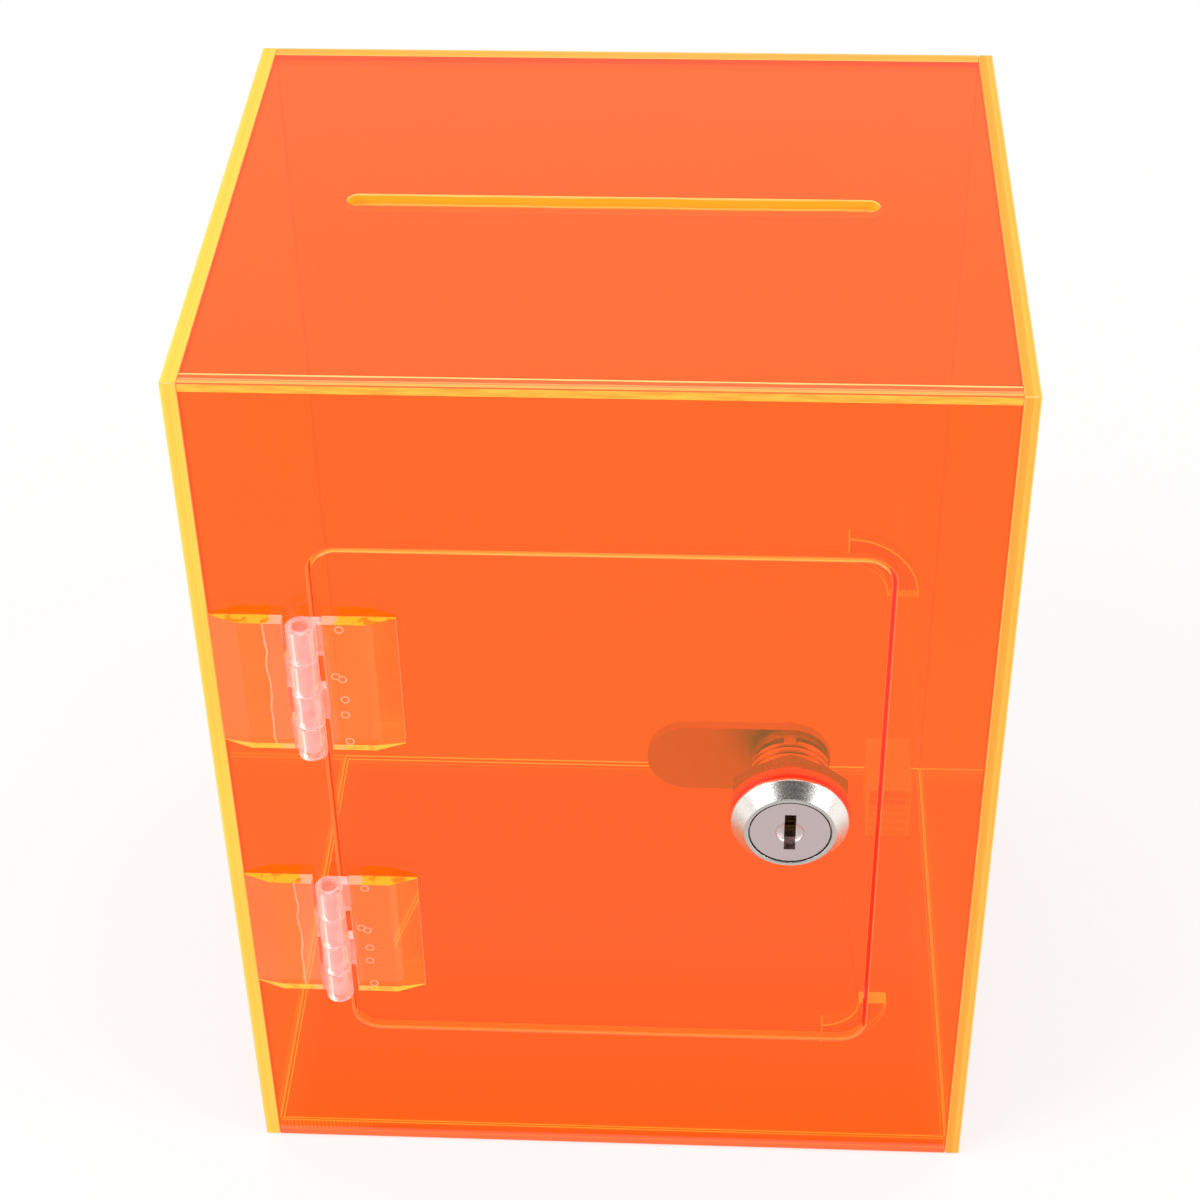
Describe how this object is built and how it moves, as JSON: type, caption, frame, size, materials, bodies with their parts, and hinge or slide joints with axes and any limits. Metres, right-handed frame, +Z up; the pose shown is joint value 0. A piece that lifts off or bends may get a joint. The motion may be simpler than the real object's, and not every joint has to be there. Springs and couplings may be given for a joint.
{
  "type": "acrylic money box",
  "caption": "Clear orange acrylic box with a slot in its top for notes and coins, and a hinged front door that a cam lock holds shut behind a glued block.",
  "frame": {"origin": "middle of the box's base, on the surface it stands on", "axes": "+Z up along the box's height, -Y out of the front with the door and lock, +X towards the lock's side"},
  "size_m": [0.15, 0.1259, 0.2],
  "materials": {
    "orange_acrylic": "polished fluorescent orange cast acrylic sheet, clear, with glowing yellow cut edges",
    "clear_acrylic": "clear moulded acrylic, gloss",
    "pin_plastic": "translucent white nylon rod",
    "nickel_plate": "satin nickel plate on die-cast zinc",
    "zinc_plate": "zinc plated steel stamping",
    "spring_steel": "bright spring steel",
    "wafer_brass": "stamped brass"
  },
  "bodies": {
    "box": {"left_side_panel": "orange_acrylic", "right_side_panel": "orange_acrylic", "back_panel": "orange_acrylic", "bottom_panel": "orange_acrylic", "top_panel": "orange_acrylic", "front_panel": "orange_acrylic", "upper_door_stop": "orange_acrylic", "lower_door_stop": "orange_acrylic", "strike_block": "orange_acrylic", "upper_hinge_frame_leaf": "clear_acrylic", "lower_hinge_frame_leaf": "clear_acrylic", "upper_hinge_pin": "pin_plastic", "lower_hinge_pin": "pin_plastic"},
    "door": {"door_panel": "orange_acrylic", "upper_hinge_door_leaf": "clear_acrylic", "lower_hinge_door_leaf": "clear_acrylic", "lock_housing": "nickel_plate", "lock_fixing_nut": "nickel_plate"},
    "plug": {"lock_plug": "nickel_plate", "lock_stop_washer": "zinc_plate", "lock_cam": "zinc_plate", "cam_spring_washer": "spring_steel", "cam_screw": "zinc_plate", "wafer_spring_1": "spring_steel", "wafer_spring_2": "spring_steel", "wafer_spring_3": "spring_steel", "wafer_spring_4": "spring_steel", "wafer_spring_5": "spring_steel"},
    "wafer_1": {"lock_wafer_1": "wafer_brass"},
    "wafer_2": {"lock_wafer_2": "wafer_brass"},
    "wafer_3": {"lock_wafer_3": "wafer_brass"},
    "wafer_4": {"lock_wafer_4": "wafer_brass"},
    "wafer_5": {"lock_wafer_5": "wafer_brass"}
  },
  "joints": [
    {"name": "door_swing", "type": "hinge", "parent": "box", "child": "door", "pos_m": [-0.0546, -0.0631, 0], "axis": [0, 0, -1], "range_deg": [0, 180]},
    {"name": "lock_turn", "type": "hinge", "parent": "door", "child": "plug", "pos_m": [0.0357, -0.06, 0.0993], "axis": [0, -1, 0], "range_deg": [0, 180]},
    {"name": "wafer_1_slide", "type": "slide", "parent": "plug", "child": "wafer_1", "axis": [0, 0, -1], "range_m": [0, 0.0012], "deforming": ["wafer_spring_1"]},
    {"name": "wafer_2_slide", "type": "slide", "parent": "plug", "child": "wafer_2", "axis": [0, 0, -1], "range_m": [0, 0.0012], "deforming": ["wafer_spring_2"]},
    {"name": "wafer_3_slide", "type": "slide", "parent": "plug", "child": "wafer_3", "axis": [0, 0, -1], "range_m": [0, 0.0012], "deforming": ["wafer_spring_3"]},
    {"name": "wafer_4_slide", "type": "slide", "parent": "plug", "child": "wafer_4", "axis": [0, 0, -1], "range_m": [0, 0.0012], "deforming": ["wafer_spring_4"]},
    {"name": "wafer_5_slide", "type": "slide", "parent": "plug", "child": "wafer_5", "axis": [0, 0, -1], "range_m": [0, 0.0012], "deforming": ["wafer_spring_5"]}
  ]
}
